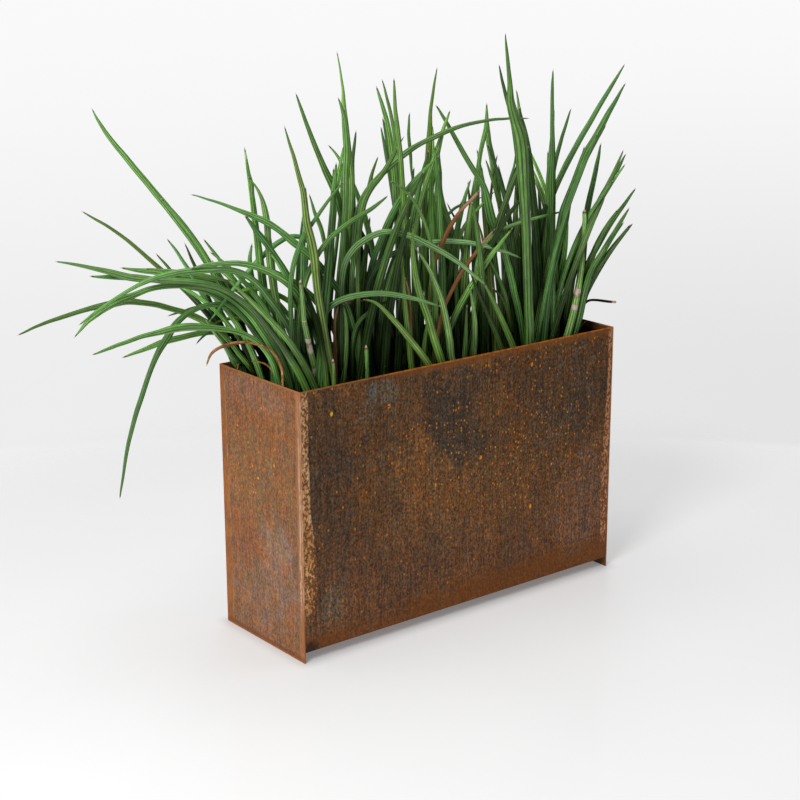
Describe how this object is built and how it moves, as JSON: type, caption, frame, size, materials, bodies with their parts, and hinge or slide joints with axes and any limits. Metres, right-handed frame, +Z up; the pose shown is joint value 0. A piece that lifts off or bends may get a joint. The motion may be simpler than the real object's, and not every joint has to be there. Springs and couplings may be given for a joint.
{
  "type": "trough planter",
  "caption": "Tall narrow trough planter in weathering steel, on flush end plates, with a lift-out black liner planted with cylindrical snake plant.",
  "frame": {"origin": "centre of the trough's footprint, on the ground", "axes": "+X along the length, -Y the front, +Z up"},
  "size_m": [1.5809, 0.4546, 1.2983],
  "materials": {
    "weathering_steel": "matte",
    "weathering_steel_end": "matte",
    "weld_bead": "matte",
    "black_liner": "satin",
    "webbing": "matte",
    "rivet": "satin",
    "clay_pebbles": "matte",
    "filter_fleece": "matte",
    "potting_mix": "matte",
    "leaf": "satin"
  },
  "bodies": {
    "planter": {"trough_sheet": "weathering_steel", "left_end_plate": "weathering_steel_end", "right_end_plate": "weathering_steel_end", "corner_weld_front_left": "weld_bead", "corner_weld_front_right": "weld_bead", "corner_weld_back_left": "weld_bead", "corner_weld_back_right": "weld_bead", "floor_weld_left": "weld_bead", "floor_weld_right": "weld_bead", "floor_bearer": "weathering_steel", "liner_ledge_left": "weathering_steel", "liner_ledge_right": "weathering_steel", "liner_cross_bar": "weathering_steel"},
    "insert": {"liner_tub": "black_liner", "lift_handle_left": "webbing", "lift_handle_right": "webbing", "handle_rivet_left_front": "rivet", "handle_rivet_left_back": "rivet", "handle_rivet_right_front": "rivet", "handle_rivet_right_back": "rivet", "clay_pebble_layer": "clay_pebbles", "filter_fabric": "filter_fleece", "potting_soil": "potting_mix", "plant_front_far_left": "leaf", "plant_front_left": "leaf", "plant_front_right": "leaf", "plant_front_far_right": "leaf", "plant_back_far_left": "leaf", "plant_back_left": "leaf", "plant_back_right": "leaf", "plant_back_far_right": "leaf"}
  },
  "joints": [
    {"name": "insert_lift", "type": "slide", "parent": "planter", "child": "insert", "axis": [0, 0, 1], "range_m": [0, 0.33]}
  ]
}
